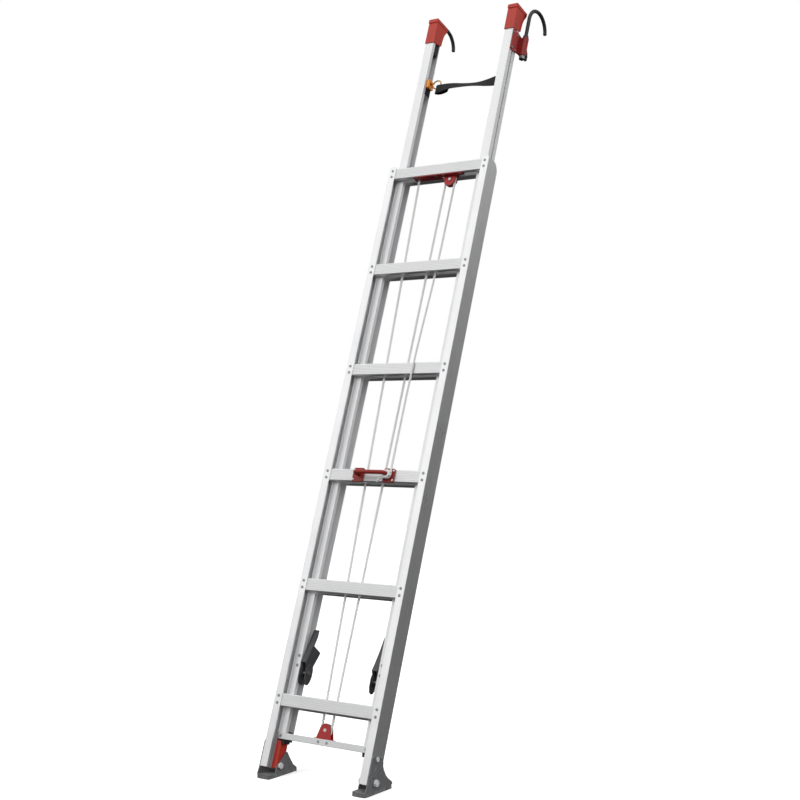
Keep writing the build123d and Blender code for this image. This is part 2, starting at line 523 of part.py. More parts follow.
# ---------------------------------------------------------------- end plugs of the fly rails
# foot under the rail's end, a lug that runs ahead of the base's rear flange
plug = box(FLY_IN, FLY_HALF, FLY_Y0 + 0.5, FLY_Y1 - 0.5, STOP_TOP + 0.3, FLY_Z0)
plug = plug + box(FLY_IN, 147.5, 24.0, 52.0, -119.0, FLY_Z0 - 1.0)
plug = plug + box(FLY_HALF - 1.0, 182.3, 51.6, 57.0, STOP_TOP + 0.3, FLY_Z0)
plug = plug + box(FLY_HALF + 0.3, 182.3, 51.6, 57.0, FLY_Z0 - 0.5, -64.0)
plug = plug + box(FLY_IN + FLY_T + 0.2, 159.3, 36.0, FLY_Y1 - FLY_T - 0.2, FLY_Z0 - 0.5, -84.0)
both("fly_end_plug", plug)

# ---------------------------------------------------------------- top caps
CAP_Z0 = 2203.0
cap_side = [
    (19.5, CAP_Z0), (19.5, 2279.0), (17.0, 2281.0), (17.0, 2293.0), (21.0, 2297.0), (76.5, 2297.0), (82.0, 2292.0), (82.0, 2279.0),
    (77.5, 2272.0), (72.0, 2262.0), (68.5, 2250.0), (66.2, 2236.0), (65.2, 2222.0), (65.2, 2215.0), (44.0, 2207.0),
]
cap = prism_x(cap_side, FLY_IN - 2.5, FLY_HALF + 2.5)
brow = prism_x([(17.0, 2281.0), (17.0, 2293.0), (21.0, 2297.0), (76.5, 2297.0), (82.0, 2292.0), (82.0, 2281.0)], FLY_IN - 3.5, FLY_HALF + 3.5)
cap = cap + brow
cap = cap - prism_y([(FLY_HALF - 2, 2298), (FLY_HALF + 5, 2298), (FLY_HALF + 5, 2291)], 0, 100)
cap = cap - prism_y([(FLY_IN + 2, 2298), (FLY_IN - 5, 2298), (FLY_IN - 5, 2291)], 0, 100)
cap = cap - box(FLY_IN - 0.1, FLY_HALF + 0.1, FLY_Y0 - 0.1, FLY_Y1 + 0.1, 2190.0, FLY_Z1)
both("top_cap", cap)
# black block pressed into the top of each fly rail, under the cap
top_plug = box(FLY_IN + FLY_T + 0.2, 159.3, 36.0, FLY_Y1 - FLY_T - 0.2, 2168.0, FLY_Z1)
node("fly_top_plugs", [top_plug, mirrored(top_plug)])

# ---------------------------------------------------------------- hook brackets and hooks
BRK_X = FLY_HALF + 3.0
brk = prism_x([(26.6, 2133), (31.0, 2127), (84, 2138), (84, 2198), (60, 2202), (26.6, 2202)], FLY_HALF, BRK_X)
brk = brk + box(FLY_HALF, HOOK_X, 76.0, 84.0, 2137.0, 2198.0)
brk = brk + cyl_z(HOOK_X, HOOK_Y, 2135.0, 2200.0, 11.5)
brk = brk - cyl_z(HOOK_X, HOOK_Y, 2100.0, 2250.0, HOOK_ROD_R + 0.06)
for y, z in BRK_RIVETS:
    brk = brk - cyl_x(160, 175, y, z, 2.5)
both("hook_bracket", brk)

stem = cyl_z(HOOK_X, HOOK_Y, HOOK_STEM_Z0, HOOK_STEM_Z1, HOOK_ROD_R)
HOOK_TIP_UP = 8.0          # the rod ends this far above the bend's centre
BEND_ARC = 180.0 - math.degrees(math.asin(HOOK_TIP_UP / HOOK_BEND_R))
bend = revolve(
    Pos(HOOK_X, HOOK_Y, HOOK_STEM_Z1) * Circle(HOOK_ROD_R),
    axis=Axis((HOOK_X, HOOK_Y + HOOK_BEND_R, HOOK_STEM_Z1), (-1, 0, 0)),
    revolution_arc=BEND_ARC,
)
collar = cyl_z(HOOK_X, HOOK_Y, 2200.4, 2209.0, 9.0)
hook = fuse(stem, bend, collar)
tip_edge = max(hook.edges(), key=lambda e: e.center().Y)
hook = fillet([tip_edge], 2.5)
both("hook", hook)
nut = prism_z([(HOOK_X + a, HOOK_Y + b) for a, b in hexagon(10.4)], 2123.0, 2134.6) - cyl_z(HOOK_X, HOOK_Y, 2100, 2150, HOOK_ROD_R)
both("hook_nut", nut)

# small spring lever at the back of each sleeve
lever = prism_x([(97.7, 2166), (101.5, 2168), (107.5, 2160), (112.5, 2147), (111.5, 2131), (107.5, 2130), (107.0, 2144), (102.5, 2153), (97.7, 2157)], HOOK_X - 3.5, HOOK_X + 3.5)
node("hook_levers", [lever, mirrored(lever)])

# ---------------------------------------------------------------- rung locks
CH0, CH1 = 114.6, 116.6
cheek_pts = [(29, 108), (36, 117), (46, 118), (54, 112), (58, 98), (58.6, 82), (55, 66), (48, 55), (40, 52), (31, 56), (26, 70), (25, 95)]
outer_pts = [(29, 108), (36, 118), (58.6, 118), (58.6, 60), (48, 53), (40, 52), (31, 56), (26, 70), (25, 95)]
lock_bracket = prism_x(cheek_pts, CH0, CH1) + prism_x(outer_pts, 136.0, 137.8)
lock_bracket = lock_bracket + box(CH0, 137.8, 56.4, 58.4, 78.0, 96.0)
lock_bracket = lock_bracket + box(136.0, 143.5, 36.0, 40.0, 98.0, 117.0) + box(141.0, 158.0, FLY_Y0 + FLY_T + 0.1, 40.0, 97.0, 141.0)
lock_bracket = lock_bracket - cyl_x(100, 140, LOCK_PIN_Y, LOCK_PIN_Z, 4.05)
for z in LOCK_RIVET_Z:
    lock_bracket = lock_bracket - cyl_y(LOCK_RIVET_X, 22, 30, z, 2.5)
both("lock_bracket", lock_bracket)

side = [(47, 78), (50, 87), (47, 96), (41, 98), (18, 96), (-35, 101), (-37, 99), (-37, LOCK_SEAT + 3), (-30, LOCK_SEAT + 1), (20, LOCK_SEAT + 1), (28, 68), (38, 75)]
hook_plate_a = prism_x(side, LOCK_X0, LOCK_X0 + 3.0)
hook_plate_b = prism_x(side, LOCK_X1 - 3.0, LOCK_X1)
front = prism_x([(-37, LOCK_SEAT + 3), (-37, 99), (-35, 101), (-33, 100.8), (-33, LOCK_SEAT + 3)], LOCK_X0, LOCK_X1)
top_web = prism_x([(-35, 101), (18, 96), (18, 92.8), (-35, 97.8)], LOCK_X0, LOCK_X1)
tongue = prism_x([(20, LOCK_SEAT), (20, LOCK_SEAT + 4.5), (-37, LOCK_SEAT + 5), (-66, LOCK_SEAT + 3), (-84, LOCK_SEAT - 2.5), (-85, LOCK_SEAT - 4.5), (-80, LOCK_SEAT - 5.0), (-40, LOCK_SEAT - 1.2), (-2, LOCK_SEAT)], LOCK_X0, LOCK_X1)
lock = fuse(hook_plate_a, hook_plate_b, front, top_web, tongue)
lock = lock - cyl_x(100, 150, LOCK_PIN_Y, LOCK_PIN_Z, 4.06)
lock = lock.rotate(Axis((0, LOCK_PIN_Y, LOCK_PIN_Z), (1, 0, 0)), -LOCK_PARK)
print("parked lock hook", lock.bounding_box().min, lock.bounding_box().max)
both("lock_hook", lock)

lock_pin = cyl_x(112.8, 137.8, LOCK_PIN_Y, LOCK_PIN_Z, 4.0) + cyl_x(111.2, 114.3, LOCK_PIN_Y, LOCK_PIN_Z, 6.5)
low_pin = cyl_y(BOT_X, CH_F0 - 0.6, CH_R1 + 0.8, BOT_Z, 4.0) + cyl_y(BOT_X, CH_F0 - 0.7, CH_F0 - 0.02, BOT_Z, 5.0)
node("fly_pins", [lock_pin, mirrored(lock_pin), low_pin])

# ---------------------------------------------------------------- pole strap
webbing = box(-112.0, 158.0, STRAP_Y - STRAP_T / 2, STRAP_Y + STRAP_T / 2, STRAP_Z - STRAP_W / 2, STRAP_Z + STRAP_W / 2)
node("strap_webbing", webbing)
buckle = prism_x(rounded_rect(31.0, 60.0, 2036.0, 2066.0, 4.0, 3), -137.8, -128.4)
buckle = buckle - box(-134.5, -127.0, 37.0, 54.0, 2044.0, 2058.0)
node("strap_buckle", buckle)
node("strap_ring", Pos(-109.8, STRAP_Y + 5.0, 2054.0) * Rot(90, 0, 0) * Torus(15.0, 2.4))

# ---------------------------------------------------------------- write
for name, solids in NODES.items():
    shape = solids[0] if len(solids) == 1 else Compound(children=solids)
    export_step(shape, "parts/%s.step" % name)
print(len(NODES), "nodes", sum(len(v) for v in NODES.values()), "solids", "travel", TRAVEL)
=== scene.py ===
import bpy
import json
import math
from mathutils import Matrix, Vector


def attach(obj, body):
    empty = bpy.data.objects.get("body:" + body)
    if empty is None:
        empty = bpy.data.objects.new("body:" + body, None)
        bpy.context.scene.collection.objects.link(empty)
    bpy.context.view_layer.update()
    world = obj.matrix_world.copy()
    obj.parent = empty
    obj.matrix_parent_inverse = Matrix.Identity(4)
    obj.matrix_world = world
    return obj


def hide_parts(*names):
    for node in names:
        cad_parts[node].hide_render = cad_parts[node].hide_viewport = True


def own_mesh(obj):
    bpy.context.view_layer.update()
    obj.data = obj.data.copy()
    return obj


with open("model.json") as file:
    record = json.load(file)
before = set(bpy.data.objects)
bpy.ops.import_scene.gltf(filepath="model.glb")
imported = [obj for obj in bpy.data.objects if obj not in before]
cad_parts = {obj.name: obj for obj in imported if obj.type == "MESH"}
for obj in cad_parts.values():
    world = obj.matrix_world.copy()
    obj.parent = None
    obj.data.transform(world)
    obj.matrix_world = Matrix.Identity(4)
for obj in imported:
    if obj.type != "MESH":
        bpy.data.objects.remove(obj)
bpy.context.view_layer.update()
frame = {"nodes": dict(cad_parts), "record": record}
bpy.context.scene.view_settings.view_transform = "Standard"

# ---------------------------------------------------------------- the ladder's own frame
# x across, d depth from the base's front flange, s along the rails from the lowest rung, in millimetres
LEAN = math.radians(19.8)
SIN, COS = math.sin(LEAN), math.cos(LEAN)
OFF_Y = -(COS * 38.0 + SIN * -181.0)
OFF_Z = 30.0 - (-SIN * 38.0 + COS * -181.0)
ALONG = Vector((0.0, SIN, COS))


def W(x, d, s):
    return Vector((x, COS * d + SIN * s + OFF_Y, -SIN * d + COS * s + OFF_Z)) / 1000.0


# ---------------------------------------------------------------- camera
scene = bpy.context.scene
cam_data = bpy.data.cameras.new("camera")
cam_data.lens = 61.8
cam_data.sensor_width = 36.0
cam_data.clip_start, cam_data.clip_end = 0.05, 100.0
camera = bpy.data.objects.new("camera", cam_data)
scene.collection.objects.link(camera)
camera.location = (2.362, -3.045, 1.0195)
camera.rotation_euler = Vector((-0.566, 0.824, 0.0136)).to_track_quat("-Z", "Y").to_euler()
scene.camera = camera


# ---------------------------------------------------------------- material helpers
class Mat:
    """A principled material with a few short-hands for its procedural nodes."""

    def __init__(self, name, metallic=0.0, roughness=0.5, base=(0.8, 0.8, 0.8), specular=0.5):
        self.mat = bpy.data.materials.new(name)
        self.mat.use_nodes = True
        self.tree = self.mat.node_tree
        self.bsdf = self.tree.nodes["Principled BSDF"]
        self.bsdf.inputs["Metallic"].default_value = metallic
        self.bsdf.inputs["Roughness"].default_value = roughness
        self.bsdf.inputs["Base Color"].default_value = (*base, 1.0)
        self.bsdf.inputs["Specular IOR Level"].default_value = specular
        self.mat.diffuse_color = (*base, 1.0)
        coord = self.node("ShaderNodeTexCoord")
        turn = self.node("ShaderNodeMapping")
        turn.inputs["Rotation"].default_value = (LEAN, 0.0, 0.0)
        self.link(coord.outputs["Object"], turn.inputs["Vector"])
        self.vec = turn.outputs["Vector"]
        self.uv = coord.outputs["UV"]

    def node(self, kind):
        return self.tree.nodes.new(kind)

    def link(self, a, b):
        self.tree.links.new(a, b)

    def stretched(self, sx, sy, sz, vec=None):
        n = self.node("ShaderNodeMapping")
        n.inputs["Scale"].default_value = (sx, sy, sz)
        self.link(vec or self.vec, n.inputs["Vector"])
        return n.outputs["Vector"]

    def noise(self, vec, scale=1.0, detail=3.0, rough=0.55, distortion=0.0):
        n = self.node("ShaderNodeTexNoise")
        n.inputs["Scale"].default_value = scale
        n.inputs["Detail"].default_value = detail
        n.inputs["Roughness"].default_value = rough
        n.inputs["Distortion"].default_value = distortion
        self.link(vec, n.inputs["Vector"])
        return n.outputs["Fac"]

    def voronoi(self, vec, scale, out="Distance"):
        n = self.node("ShaderNodeTexVoronoi")
        n.inputs["Scale"].default_value = scale
        self.link(vec, n.inputs["Vector"])
        return n.outputs[out]

    def wave(self, vec, scale, direction="X", distortion=0.0, profile="SIN"):
        n = self.node("ShaderNodeTexWave")
        n.wave_type = "BANDS"
        n.bands_direction = direction
        n.wave_profile = profile
        n.inputs["Scale"].default_value = scale
        n.inputs["Distortion"].default_value = distortion
        self.link(vec, n.inputs["Vector"])
        return n.outputs["Fac"]

    def ramp(self, fac, stops):
        n = self.node("ShaderNodeValToRGB")
        el = n.color_ramp.elements
        while len(el) < len(stops):
            el.new(0.5)
        for e, (p, c) in zip(el, stops):
            e.position = p
            e.color = (*c, 1.0) if len(c) == 3 else c
        self.link(fac, n.inputs["Fac"])
        return n.outputs["Color"]

    def span(self, fac, lo, hi, f0=0.0, f1=1.0):
        n = self.node("ShaderNodeMapRange")
        n.inputs["From Min"].default_value = f0
        n.inputs["From Max"].default_value = f1
        n.inputs["To Min"].default_value = lo
        n.inputs["To Max"].default_value = hi
        self.link(fac, n.inputs["Value"])
        return n.outputs["Result"]

    def math(self, op, a, b):
        n = self.node("ShaderNodeMath")
        n.operation = op
        for k, v in enumerate((a, b)):
            if isinstance(v, (int, float)):
                n.inputs[k].default_value = v
            else:
                self.link(v, n.inputs[k])
        return n.outputs[0]

    def mix(self, fac, a, b, blend="MIX"):
        n = self.node("ShaderNodeMix")
        n.data_type = "RGBA"
        n.blend_type = blend
        if isinstance(fac, (int, float)):
            n.inputs[0].default_value = fac
        else:
            self.link(fac, n.inputs[0])
        for sock, v in ((n.inputs[6], a), (n.inputs[7], b)):
            if isinstance(v, tuple):
                sock.default_value = (*v, 1.0)
            else:
                self.link(v, sock)
        return n.outputs[2]

    def bump(self, height, strength, distance, normal=None):
        n = self.node("ShaderNodeBump")
        n.inputs["Strength"].default_value = strength
        n.inputs["Distance"].default_value = distance
        self.link(height, n.inputs["Height"])
        if normal is not None:
            self.link(normal, n.inputs["Normal"])
        return n.outputs["Normal"]

    def rounded(self, radius):
        n = self.node("ShaderNodeBevel")
        n.samples = 4
        n.inputs["Radius"].default_value = radius
        return n.outputs["Normal"]

    def edges(self, radius, lo=0.04, hi=0.30):
        """1 along the sharp edges of the shape, 0 on its faces."""
        geo = self.node("ShaderNodeNewGeometry")
        dot = self.node("ShaderNodeVectorMath")
        dot.operation = "DOT_PRODUCT"
        self.link(self.rounded(radius), dot.inputs[0])
        self.link(geo.outputs["Normal"], dot.inputs[1])
        return self.span(dot.outputs["Value"], 1.0, 0.0, 1.0 - hi, 1.0 - lo)

    def set(self, socket, value):
        self.link(value, self.bsdf.inputs[socket])


def aluminium(name, axis, light, dark, rough, metal=0.6):
    """Extruded aluminium: die lines along axis, cloudy oxide, a few scuffs."""
    m = Mat(name, metallic=metal, base=light)
    lengthwise = {"z": (900.0, 900.0, 5.0), "x": (5.0, 900.0, 900.0)}[axis]
    lines = m.noise(m.stretched(*lengthwise), 1.0, 4.0, 0.6)
    broad = m.noise(m.stretched(*[v * 0.12 for v in lengthwise]), 1.0, 3.0, 0.5)
    cloud = m.noise(m.vec, 9.0, 4.0, 0.6)
    scuff = m.noise(m.stretched(*[{900.0: 1400.0, 5.0: 60.0}[v] for v in lengthwise]), 1.0, 2.0, 0.5, 0.6)
    tone = m.mix(m.span(lines, 0.0, 1.0, 0.3, 0.7), dark, light)
    tone = m.mix(m.span(broad, 0.0, 0.22, 0.42, 0.68), tone, tuple(v * 0.92 for v in dark))
    tone = m.mix(m.span(cloud, 0.0, 0.10, 0.40, 0.75), tone, (0.66, 0.67, 0.68))
    mark = m.span(scuff, 0.0, 0.3, 0.70, 0.78)
    tone = m.mix(mark, tone, (0.55, 0.555, 0.565))
    m.set("Base Color", tone)
    r = m.math("ADD", m.span(lines, rough - 0.06, rough + 0.08, 0.25, 0.75), m.span(cloud, -0.03, 0.05, 0.3, 0.7))
    m.set("Roughness", r)
    m.set("Normal", m.bump(lines, 0.10, 0.00025, m.rounded(0.0007)))
    return m.mat


def moulded(name, base, deep, pale, rough=0.42, grain=1800.0, edge=0.0012):
    """Moulded plastic: spark-eroded grain, flow tone, edges rubbed pale."""
    m = Mat(name, roughness=rough, base=base, specular=0.45)
    tone = m.noise(m.vec, 26.0, 4.0, 0.6)
    fine = m.noise(m.vec, grain, 2.0, 0.5)
    colour = m.mix(m.span(tone, 0.0, 1.0, 0.35, 0.70), deep, base)
    colour = m.mix(m.span(fine, 0.0, 0.12, 0.45, 0.75), colour, pale)
    colour = m.mix(m.span(m.edges(edge), 0.0, 0.35), colour, pale)
    m.set("Base Color", colour)
    m.set("Roughness", m.math("ADD", m.span(tone, rough - 0.07, rough + 0.08, 0.3, 0.7), m.span(fine, -0.04, 0.04)))
    m.set("Normal", m.bump(fine, 0.20, 0.00025, m.rounded(edge)))
    return m.mat


def painted(name, base, edge_tone, rough=0.38, edge=0.0012, edge_amount=0.75, peel=700.0):
    """Stoved paint on steel: orange peel, dust tone, bright metal at rubbed edges; on the grey shoe paint the pale
    edges are widened and also act as painted highlights along the ribs.
    """
    m = Mat(name, roughness=rough, base=base, specular=0.5)
    dust = m.noise(m.vec, 34.0, 5.0, 0.65)
    peel_n = m.noise(m.vec, peel, 2.0, 0.5)
    chips = m.noise(m.vec, 420.0, 3.0, 0.6)
    colour = m.mix(m.span(dust, 0.0, 0.45, 0.45, 0.75), base, tuple(min(1.0, v * 1.5 + 0.02) for v in base))
    # pale edge mask: wear, and where it is wide and full (grey shoe paint) also a painted highlight on the ribs
    rubbed_and_lit_edge = m.math("MULTIPLY", m.edges(edge), m.span(chips, 0.0, edge_amount, 0.46, 0.60))
    colour = m.mix(rubbed_and_lit_edge, colour, edge_tone)
    m.set("Base Color", colour)
    m.set("Metallic", m.math("MULTIPLY", rubbed_and_lit_edge, 0.8))
    m.set("Roughness", m.span(dust, rough - 0.06, rough + 0.14, 0.3, 0.75))
    m.set("Normal", m.bump(peel_n, 0.16, 0.0004, m.rounded(edge)))
    return m.mat


def steel(name, light, dark, rough):
    m = Mat(name, metallic=1.0, base=light)
    spangle = m.voronoi(m.vec, 260.0, "Color")
    fine = m.noise(m.vec, 900.0, 3.0, 0.6)
    tone = m.mix(m.span(fine, 0.0, 1.0, 0.3, 0.7), dark, light)
    tone = m.mix(0.10, tone, spangle, "SOFT_LIGHT")
    m.set("Base Color", tone)
    m.set("Roughness", m.span(fine, rough - 0.07, rough + 0.09, 0.3, 0.7))
    m.set("Normal", m.bump(fine, 0.10, 0.0002, m.rounded(0.0006)))
    return m.mat


def rubber(name, base, pale):
    m = Mat(name, roughness=0.75, base=base, specular=0.3)
    dust = m.noise(m.vec, 60.0, 5.0, 0.7)
    fine = m.noise(m.vec, 1500.0, 2.0, 0.5)
    m.set("Base Color", m.mix(m.span(dust, 0.0, 0.7, 0.40, 0.72), base, pale))
    m.set("Roughness", m.span(dust, 0.66, 0.88, 0.3, 0.7))
    m.set("Normal", m.bump(fine, 0.3, 0.0003, m.rounded(0.001)))
    return m.mat


def brass(name):
    m = Mat(name, metallic=1.0, base=(0.72, 0.52, 0.20))
    tarnish = m.noise(m.vec, 220.0, 4.0, 0.6)
    m.set("Base Color", m.mix(m.span(tarnish, 0.0, 0.8, 0.42, 0.72), (0.74, 0.55, 0.23), (0.42, 0.27, 0.09)))
    m.set("Roughness", m.span(tarnish, 0.24, 0.48, 0.3, 0.7))
    m.set("Normal", m.bump(tarnish, 0.08, 0.0002))
    return m.mat


def rope_fibre(name):
    """Twisted white rope: filaments along each strand, random soil, and painted shade darkening the lay between the
    strands.
    """
    m = Mat(name, roughness=0.72, base=(0.86, 0.855, 0.83), specular=0.35)
    uv = m.uv
    hair = m.noise(m.stretched(160.0, 34.0, 1.0, uv), 1.0, 3.0, 0.6)
    soil = m.noise(m.vec, 30.0, 4.0, 0.6)
    part = m.node("ShaderNodeSeparateXYZ")
    m.link(uv, part.inputs[0])
    lay = m.math("ABSOLUTE", m.math("SUBTRACT", m.math("FRACT", m.math("MULTIPLY", part.outputs["Y"], 3.0), 0.0), 0.5), 0.0)
    # painted shade: the lay between the strands is darkened toward a deep grey, as shade in the crease
    lay_shade = m.span(lay, 0.0, 1.0, 0.30, 0.5)
    colour = m.mix(m.span(hair, 0.0, 0.5, 0.35, 0.70), (0.80, 0.798, 0.785), (0.70, 0.697, 0.68))
    colour = m.mix(m.span(soil, 0.0, 0.22, 0.45, 0.75), colour, (0.60, 0.595, 0.57))
    colour = m.mix(m.math("MULTIPLY", lay_shade, 0.85), colour, (0.22, 0.217, 0.21))
    m.set("Base Color", colour)
    m.set("Roughness", m.span(hair, 0.62, 0.85, 0.3, 0.7))
    m.set("Normal", m.bump(hair, 0.35, 0.0004))
    m.bsdf.inputs["Sheen Weight"].default_value = 0.25
    return m.mat


def woven(name):
    """Black webbing: ribs across its length, a herringbone lie. UV is in metres."""
    m = Mat(name, roughness=0.78, base=(0.018, 0.018, 0.020), specular=0.3)
    ribs = m.wave(m.stretched(1.0, 0.0, 1.0, m.uv), 110.0, "X")
    picks = m.wave(m.stretched(1.0, 1.0, 1.0, m.uv), 150.0, "DIAGONAL")
    cross = m.wave(m.stretched(0.0, 1.0, 1.0, m.uv), 85.0, "Y")
    weave = m.math("MULTIPLY", m.math("ADD", ribs, picks), m.span(cross, 0.55, 1.0))
    dust = m.noise(m.vec, 45.0, 4.0, 0.65)
    colour = m.mix(m.span(weave, 0.0, 0.8, 0.3, 1.8), (0.006, 0.006, 0.007), (0.026, 0.026, 0.028))
    colour = m.mix(m.span(dust, 0.0, 0.18, 0.50, 0.78), colour, (0.06, 0.058, 0.056))
    m.set("Base Color", colour)
    m.set("Roughness", m.span(weave, 0.62, 0.90, 0.0, 2.0))
    m.set("Normal", m.bump(weave, 0.7, 0.0006))
    m.bsdf.inputs["Sheen Weight"].default_value = 0.04
    return m.mat


MATERIALS = {
    "rail_aluminium": aluminium("extruded_rail", "z", (0.95, 0.953, 0.958), (0.91, 0.913, 0.92), 0.31, 0.88),
    "rung_aluminium": aluminium("extruded_rung", "x", (0.86, 0.863, 0.868), (0.83, 0.833, 0.838), 0.38, 0.80),
    "bar_aluminium": aluminium("flat_bar", "x", (0.80, 0.803, 0.808), (0.74, 0.743, 0.748), 0.40, 0.75),
    "rivet_steel": steel("zinc_rivet", (0.46, 0.46, 0.47), (0.34, 0.34, 0.35), 0.40),
    "guide_plastic": moulded("black_guide", (0.020, 0.020, 0.022), (0.013, 0.013, 0.014), (0.06, 0.06, 0.062), 0.5),
    "red_plastic": moulded("red_moulding", (0.47, 0.036, 0.020), (0.40, 0.028, 0.016), (0.64, 0.12, 0.08), 0.38),
    "red_paint": painted("red_paint", (0.31, 0.013, 0.013), (0.60, 0.22, 0.18), 0.34),
    # wide, full-strength pale edges: wear plus painted highlights picking out the shoe plate ribs
    "shoe_paint": painted("grey_shoe_paint", (0.125, 0.127, 0.130), (0.62, 0.62, 0.63), 0.44, 0.0016, 1.0),
    "sole_rubber": rubber("sole_rubber", (0.12, 0.12, 0.122), (0.26, 0.26, 0.26)),
    "pin_steel": steel("zinc_pin", (0.74, 0.73, 0.72), (0.58, 0.57, 0.56), 0.33),
    "sheave_plastic": moulded("sheave_nylon", (0.17, 0.17, 0.175), (0.13, 0.13, 0.135), (0.30, 0.30, 0.31), 0.45),
    "rope": rope_fibre("white_rope"),
    "hook_paint": painted("black_hook_paint", (0.030, 0.031, 0.034), (0.30, 0.30, 0.31), 0.36, 0.0008, 0.5),
    "lever_plastic": moulded("black_lever", (0.022, 0.022, 0.024), (0.015, 0.015, 0.016), (0.08, 0.08, 0.082), 0.42),
    "lock_paint": painted("black_lock_paint", (0.042, 0.043, 0.046), (0.38, 0.38, 0.39), 0.40, 0.0010, 0.6),
    "webbing": woven("black_webbing"),
    "buckle_plastic": moulded("orange_buckle", (0.92, 0.37, 0.060), (0.80, 0.28, 0.040), (0.90, 0.50, 0.22), 0.38),
    "ring_brass": brass("brass_ring"),
}

FLY_RAIL = aluminium("extruded_fly_rail", "z", (0.88, 0.883, 0.888), (0.84, 0.843, 0.85), 0.40, 0.45)
# painted shade: a darker copy of the rung aluminium, so the fly rungs read dark behind the base rungs as if in their
# shadow
SHADED_FLY_RUNG = aluminium("fly_rung_painted_shade", "x", (0.78, 0.783, 0.788), (0.74, 0.743, 0.748), 0.36, 0.85)
FOOT_BOLT = aluminium("zinc_bolt", "x", (0.82, 0.82, 0.82), (0.70, 0.70, 0.70), 0.38, 0.25)
HANDLE = moulded("dark_red_moulding", (0.25, 0.016, 0.011), (0.20, 0.012, 0.009), (0.50, 0.09, 0.07), 0.34)

for row in frame["record"]["subparts"]:
    node = frame["nodes"][row["node"]]
    node.data.materials.clear()
    look = {"fly_rail": FLY_RAIL, "fly_rung": SHADED_FLY_RUNG, "foot_bol": FOOT_BOLT, "rope_han": FOOT_BOLT}.get(row["node"][:8], MATERIALS[row["material_slot"]])
    node.data.materials.append(HANDLE if row["node"] == "rope_handle" else look)


# ---------------------------------------------------------------- meshes
def add_mesh(name, verts, faces, material, uvs=None, smooth=True):
    me = bpy.data.meshes.new(name)
    me.from_pydata([tuple(v) for v in verts], [], faces)
    if uvs is not None:
        layer = me.uv_layers.new(name="UVMap")
        for poly in me.polygons:
            for li in poly.loop_indices:
                layer.data[li].uv = uvs(poly.index, me.loops[li].vertex_index)
    if smooth:
        me.polygons.foreach_set("use_smooth", [True] * len(me.polygons))
    me.materials.append(material)
    me.update()
    ob = bpy.data.objects.new(name, me)
    scene.collection.objects.link(ob)
    return ob


def spline_points(points, resolution):
    """The points of a smooth NURBS line through the route, as its curve gives them."""
    cu = bpy.data.curves.new("route", "CURVE")
    cu.dimensions = "3D"
    sp = cu.splines.new("NURBS")
    sp.points.add(len(points) - 1)
    for p, v in zip(sp.points, points):
        p.co = (*v, 1.0)
    sp.order_u = 3
    sp.use_endpoint_u = True
    sp.resolution_u = resolution
    cu.resolution_u = resolution
    ob = bpy.data.objects.new("route", cu)
    scene.collection.objects.link(ob)
    bpy.context.view_layer.update()
    me = bpy.data.meshes.new_from_object(ob.evaluated_get(bpy.context.evaluated_depsgraph_get()))
    out = [v.co.copy() for v in me.vertices]
    bpy.data.meshes.remove(me)
    bpy.data.objects.remove(ob)
    bpy.data.curves.remove(cu)
    clean = [out[0]]
    for p in out[1:]:
        if (p - clean[-1]).length > 2e-5:
            clean.append(p)
    return clean


ROPE_R = 0.004
LAY = 0.030                # length of one full twist of the three strands


def rope_section(count=24):
    """Radius of a three-strand rope's section against the angle, softened in the lay."""
    strand = ROPE_R / 2.1547
    off = ROPE_R - strand
    out = []
    for k in range(count):
        a = 2 * math.pi * k / count
        q = (a + math.pi / 3) % (2 * math.pi / 3) - math.pi / 3
        r = off * math.cos(q) + math.sqrt(max(0.0, strand ** 2 - (off * math.sin(q)) ** 2))
        out.append((a, max(r, 0.0029)))
    return out


def rope_mesh(name, line):
    """Twisted three-strand rope that follows the points of its line."""
    section = rope_section()
    n = len(section)
    verts, arc = [], []
    run = 0.0
    tangent = (line[1] - line[0]).normalized()
    side = tangent.orthogonal().normalized()
    for i, p in enumerate(line):
        if i:
            run += (p - line[i - 1]).length
        new = (line[min(i + 1, len(line) - 1)] - line[max(i - 1, 0)]).normalized()
        side = (tangent.rotation_difference(new) @ side)
        side = (side - new * side.dot(new)).normalized()
        tangent = new
        up = tangent.cross(side)
        twist = 2 * math.pi * run / LAY
        arc.append(run)
        for a, r in section:
            verts.append(p + (side * math.cos(a + twist) + up * math.sin(a + twist)) * r)
    faces = []
    for i in range(len(line) - 1):
        for k in range(n):
            faces.append((i * n + k, i * n + (k + 1) % n, (i + 1) * n + (k + 1) % n, (i + 1) * n + k))
    ring = len(faces)
    faces.append(tuple(range(n - 1, -1, -1)))
    faces.append(tuple(range((len(line) - 1) * n, len(line) * n)))

    def uv(poly, vert):
        i, k = divmod(vert, n)
        if poly < ring and k == 0 and poly % n == n - 1:
            k = n
        return (arc[i], k / n + 1.0 / 6.0)

    ob = add_mesh(name, verts, faces, MATERIALS["rope"], uv)
    return ob


# ---------------------------------------------------------------- ropes
PLANE = 26.5
lift_line = spline_points([W(26, PLANE, 1667.7), W(25.75, PLANE, 1620), W(17.25, PLANE, -17), W(17, PLANE, -64.7)], 520)
lift = rope_mesh("lift_rope", lift_line)
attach(lift, "base")
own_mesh(lift)
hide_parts("rope_lift_strand")

dead_line = spline_points([W(-79, PLANE, 1690), W(-77.3, PLANE, 1642), W(-18.7, PLANE, -16.5), W(-17, PLANE, -64.5)], 520)
dead = rope_mesh("anchor_rope", dead_line)
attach(dead, "base")
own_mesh(dead)
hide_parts("rope_anchor_strand")

turn_line = spline_points([W(17, PLANE, -64.7), W(17, PLANE, -72.04), W(7.04, PLANE, -82), W(-7.04, PLANE, -82), W(-17, PLANE, -72.04), W(-17, PLANE, -64.7)], 14)
turn = rope_mesh("lower_rope_turn", turn_line)
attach(turn, "fly")
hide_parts("rope_bottom_turn")

